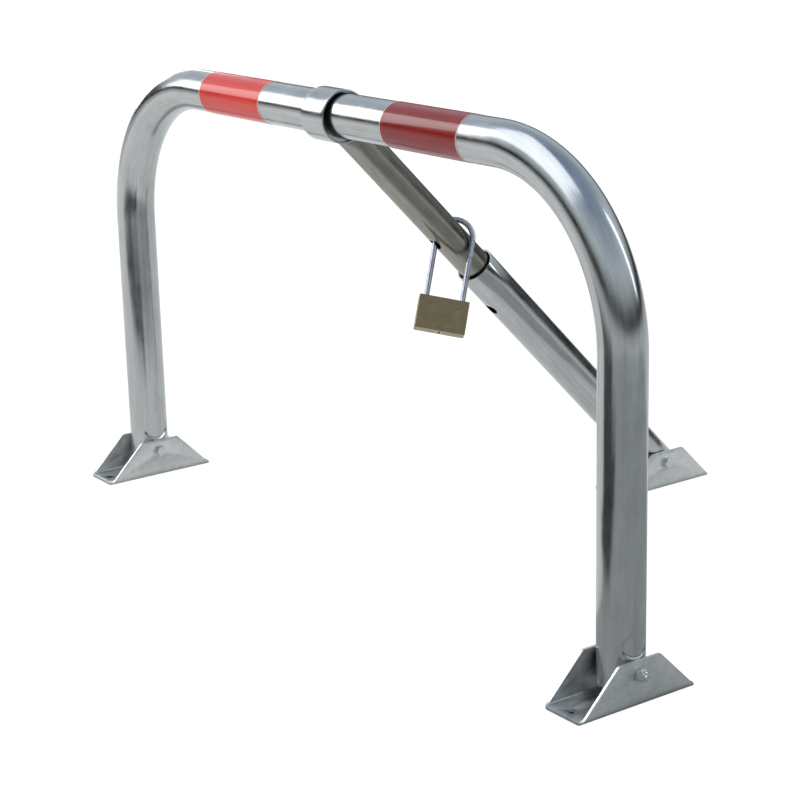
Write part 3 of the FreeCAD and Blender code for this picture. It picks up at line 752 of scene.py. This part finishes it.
def threadedShank(name, length):
    # plain shank with thread ridges over its last stretch and a chamfered point
    values = fastenerValues
    piece = startRing(name, values["bolt"], values["shankSides"], 0)
    threadLength = values["threadLength"]
    extrude((0, 0, -(length - threadLength)))
    ridges = int(threadLength / values["pitch"]) - 1
    small = (values["bolt"] - values["threadDepth"]) / values["bolt"]
    for ridge in range(ridges):
        extrude((0, 0, -values["pitch"] / 2))
        bpy.ops.transform.resize(value=(small, small, 1))
        extrude((0, 0, -values["pitch"] / 2))
        bpy.ops.transform.resize(value=(1 / small, 1 / small, 1))
    extrude((0, 0, -(threadLength - ridges * values["pitch"])))
    point = small * values["pointShare"]
    bpy.ops.transform.resize(value=(point, point, 1))
    bpy.ops.mesh.edge_face_add()
    closeSurface()
    return piece


def makeFasteners(side):
    values = fastenerValues
    low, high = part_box(side + "_pivot_bolt")
    nutMiddle = middleOf(side + "_lock_nut").x
    boltMiddle = (low.x + high.x) / 2
    sign = 1 if nutMiddle > boltMiddle else -1  # the nut's side of the bracket
    aim = Matrix.Rotation(-sign * math.pi / 2, 4, "Y")  # local Z points to the head
    spot = Vector((0, (low.y + high.y) / 2, pivotHeight))
    headEnd = low.x if sign > 0 else high.x
    seat = headEnd + sign * values["head"]
    length = abs((high.x if sign > 0 else low.x) - seat)
    bolt = joinPieces(hexagonBlock(side + "PivotBolt", values["head"]), threadedShank("shank", length))
    settle(bolt, Matrix.Translation((seat, spot.y, spot.z)) @ aim)
    smooth(bolt, values["smoothAngle"])
    finishPiece(bolt, side + "_pivot_bolt", boltZinc, "ground_brackets")
    washerLow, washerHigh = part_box(side + "_washer")
    nutSeat = washerHigh.x if sign > 0 else washerLow.x
    washer = startRing(side + "Washer", values["washer"], values["washerSides"], 0)
    extrude((0, 0, values["washerThick"]))
    closeSurface()
    ringWidth = values["washer"] - values["bolt"] - values["washerPlay"]
    modify(washer, "SOLIDIFY", thickness=ringWidth, offset=-1)
    roundEdges(washer, values["washerEdge"])
    settle(washer, Matrix.Translation((washerLow.x, spot.y, spot.z)) @ alongBar)
    smooth(washer)
    finishPiece(washer, side + "_washer", boltZinc, "ground_brackets")
    nut = hexagonBlock(side + "LockNut", values["nut"])
    outer = values["hexRadius"] * values["collarShare"]
    collar = startRing("collar", outer, values["collarSides"], values["nut"] * 0.5)
    extrude((0, 0, values["nut"] * 0.5 + values["nutCollar"] * values["collarStraight"]))
    extrude((0, 0, values["nutCollar"] * values["collarRounded"]))
    bpy.ops.transform.resize(value=(values["collarTaper"], values["collarTaper"], 1))
    extrude((0, 0, 0))
    bpy.ops.transform.resize(value=(values["collarMouth"], values["collarMouth"], 1))
    extrude((0, 0, -values["nutCollar"] * values["collarRecess"]))
    closeSurface()
    joinPieces(nut, collar)
    cutBy(nut, rodCutter(values["bolt"], values["boreDepth"], (0, 0, values["boreMiddle"]), (0, 0, 1)))
    outward = Matrix.Rotation(sign * math.pi / 2, 4, "Y")  # local Z points away from the bracket
    settle(nut, Matrix.Translation((nutSeat, spot.y, spot.z)) @ outward)
    smooth(nut, values["smoothAngle"])
    finishPiece(nut, side + "_lock_nut", boltZinc, "ground_brackets")


for side in ("left", "right", "rear"):
    makeFasteners(side)
print("fasteners made")


# padlock: the machined pieces keep their shapes and take their finishes
nodeFinishes = {
    "padlock_body": brassBlock,
    "chamber_plugs": brassBlock,
    "key_plug": turnedBrass,
    "key_pins": turnedBrass,
    "driver_pins": turnedBrass,
    "shackle": shackleSteel,
    "heel_retaining_pin": turnedBrass,
    "latch": shackleSteel,
    "plug_clip": springSteel,
    "pin_springs": springSteel,
    "latch_spring": springSteel,
}
for node, material in nodeFinishes.items():
    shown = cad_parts[node]
    shown.data.materials.clear()
    shown.data.materials.append(material)
print("padlock finished")


# floor, sky and lamps
studio = {
    "floorSize": 60,
    "floorSeen": "#FDFDFC",
    "floorMirrored": "#E2E1DC",
    "floorPatches": "#BBB9B3",
    "floorLift": 0.4,
    "floorGlow": 1.08,
    "shadowShare": 0.14,
    "skyStrength": 1.0,
    "skyWave": 0.14,
}
# colours of the sky by height, from the dark line of the horizon up to the zenith
skyBands = (
    (0.0, "#262523"), (0.13, "#2E2D2A"), (0.26, "#B9C2C6"),
    (0.42, "#DDEAF2"), (0.7, "#C3D2E2"), (1.0, "#8FA5C2"),
)


def makeFloor():
    # white to the eye with soft contact shadows, but grey like pavement in the metal's reflections
    clearSelection()
    bpy.ops.mesh.primitive_plane_add(size=studio["floorSize"])
    floor = named("paleFloor")
    material, tree, shader = newMaterial("paleFloor")
    shader.inputs["Roughness"].default_value = 0.9
    shader.inputs["Specular IOR Level"].default_value = 0.1
    place = addNode(tree, "ShaderNodeTexCoord").outputs["Object"]
    patches = addNode(tree, "ShaderNodeTexNoise", None, {
        "Vector": place, "Scale": 0.9, "Detail": 5.0}).outputs["Fac"]
    pavement = blendColours(tree, patches, studio["floorPatches"], studio["floorMirrored"])
    seen = addNode(tree, "ShaderNodeLightPath").outputs["Is Camera Ray"]
    shown = addNode(tree, "ShaderNodeMix", {"data_type": "RGBA"}, {0: seen, 6: pavement})
    shown.inputs[7].default_value = linear(studio["floorSeen"])
    tree.links.new(shown.outputs[2], shader.inputs["Base Color"])
    tree.links.new(pavement, shader.inputs["Emission Color"])
    shader.inputs["Emission Strength"].default_value = studio["floorLift"]
    glow = addNode(tree, "ShaderNodeEmission", None, {
        "Color": linear(studio["floorSeen"]), "Strength": studio["floorGlow"]})
    share = addNode(tree, "ShaderNodeMath", {"operation": "MULTIPLY"}, {
        0: seen, 1: 1 - studio["shadowShare"]})
    both = addNode(tree, "ShaderNodeMixShader", None, {0: share.outputs[0]})
    tree.links.new(shader.outputs[0], both.inputs[1])
    tree.links.new(glow.outputs[0], both.inputs[2])
    tree.links.new(both.outputs[0], tree.nodes["Material Output"].inputs["Surface"])
    floor.data.materials.append(material)


def makeSky():
    world = bpy.data.worlds.new("studioSky")
    bpy.context.scene.world = world
    world.use_nodes = True
    tree = world.node_tree
    background = tree.nodes["Background"]
    direction = addNode(tree, "ShaderNodeTexCoord").outputs["Generated"]
    height = addNode(tree, "ShaderNodeSeparateXYZ", None, {0: direction}).outputs["Z"]
    noise = addNode(tree, "ShaderNodeTexNoise", None, {
        "Vector": direction, "Scale": 3.0, "Detail": 4.0, "Roughness": 0.6}).outputs["Fac"]
    lowered = addNode(tree, "ShaderNodeMath", {"operation": "SUBTRACT"}, {
        0: height, 1: studio["skyWave"] / 2}).outputs[0]
    wavy = addNode(tree, "ShaderNodeMath", {"operation": "MULTIPLY_ADD"}, {
        0: noise, 1: studio["skyWave"], 2: lowered}).outputs[0]
    ramp = addNode(tree, "ShaderNodeValToRGB", None, {0: wavy})
    stops = ramp.color_ramp.elements
    while len(stops) < len(skyBands):
        stops.new(0.5)
    for stop, (place, colour) in zip(stops, skyBands):
        stop.position = place
        stop.color = linear(colour)
    tree.links.new(ramp.outputs["Color"], background.inputs["Color"])
    background.inputs["Strength"].default_value = studio["skyStrength"]


lamps = (
    {"name": "overheadSoftbox", "spot": (-0.8, -1.4, 3.0), "target": (0, 0, 0.2),
     "size": (3.2, 3.2), "power": 54, "colour": "#F3F6FA"},
    {"name": "leftSoftbox", "spot": (-2.6, -1.6, 1.7), "target": (0, 0, 0.3),
     "size": (0.9, 1.8), "power": 22, "colour": "#FFFFFF"},
    {"name": "lowLeftCard", "spot": (-3.4, 0.7, 0.9), "target": (-0.4, -0.2, 0.4),
     "size": (1.6, 0.9), "power": 16, "colour": "#FFFFFF"},
    {"name": "rearStrip", "spot": (1.9, 2.2, 1.9), "target": (0, 0, 0.3),
     "size": (0.4, 2.2), "power": 12, "colour": "#EAF2FF"},
)


def makeLamp(values):
    clearSelection()
    bpy.ops.object.light_add(type="AREA", location=values["spot"])
    lamp = bpy.context.object
    lamp.name = values["name"]
    lamp.data.shape = "RECTANGLE"
    lamp.data.size, lamp.data.size_y = values["size"]
    lamp.data.energy = values["power"]
    lamp.data.color = linear(values["colour"])[:3]
    aim = Vector(values["target"]) - Vector(values["spot"])
    lamp.rotation_euler = aim.to_track_quat("-Z", "Y").to_euler()


makeFloor()
makeSky()
for lampValues in lamps:
    makeLamp(lampValues)


# cloths on the ground, seen only by the metal: two dark ones in front of the hoop for the dark
# streaks on its tube, and a pale one on its right for the lighter lower halves
cloths = (
    {"colour": "#34332F", "corners": ((0.0, -0.43), (0.36, -0.5), (0.7, -0.95), (0.2, -1.25))},
    {"colour": "#34332F", "corners": ((0.13, -0.5), (0.4, -0.6), (0.4, -2.2), (-0.95, -1.6))},
    {"colour": "#B9B7B0", "corners": ((0.2, -0.3), (0.3, 0.6), (1.6, 1.2), (1.8, -1.4), (0.15, -1.6))},
)
clothLevel = 0.0015
clothDrop = 0.0004  # each cloth lies this much lower than the one before


def makeCloth(name, corners, colour, level):
    clearSelection()
    bpy.ops.mesh.primitive_circle_add(vertices=len(corners), fill_type="NGON")
    cloth = named(name)
    for vertex, (x, y) in zip(cloth.data.vertices, corners):
        vertex.co = (x, y, level)
    material, tree, shader = newMaterial(name)
    shader.inputs["Base Color"].default_value = linear(colour)
    shader.inputs["Roughness"].default_value = 0.95
    cloth.data.materials.append(material)
    cloth.visible_camera = False
    cloth.visible_diffuse = False
    cloth.visible_shadow = False


holeShadeValues = {
    "sides": 32,
    "share": 0.98,
    "level": 0.0002,
}


def makeHoleShadeDisc(name, spot):  # a black disc under an anchor hole: painted shade that makes the hole look dark and deep
    values = holeShadeValues
    clearSelection()
    bpy.ops.mesh.primitive_circle_add(vertices=values["sides"], fill_type="NGON",
                                      radius=bracketValues["anchorHole"] * values["share"],
                                      location=(spot[0], spot[1], values["level"]))
    socket = named(name)
    material, tree, shader = newMaterial("darkSocket")
    shader.inputs["Base Color"].default_value = linear("#0B0B0B")
    shader.inputs["Roughness"].default_value = 1.0
    shader.inputs["Specular IOR Level"].default_value = 0.0
    socket.data.materials.append(material)


for index, cloth in enumerate(cloths):
    makeCloth("darkCloth" + str(index), cloth["corners"], cloth["colour"], clothLevel - index * clothDrop)
# black discs of painted shade on the floor under every anchor hole
for side in ("left", "right", "rear"):
    low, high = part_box(side + "_bracket")
    for end, inset in ((low.y, bracketValues["anchorInset"]), (high.y, -bracketValues["anchorInset"])):
        makeHoleShadeDisc(side + "Socket", ((low.x + high.x) / 2, end + inset))
bpy.context.scene.view_settings.view_transform = "Standard"
print("studio lit")
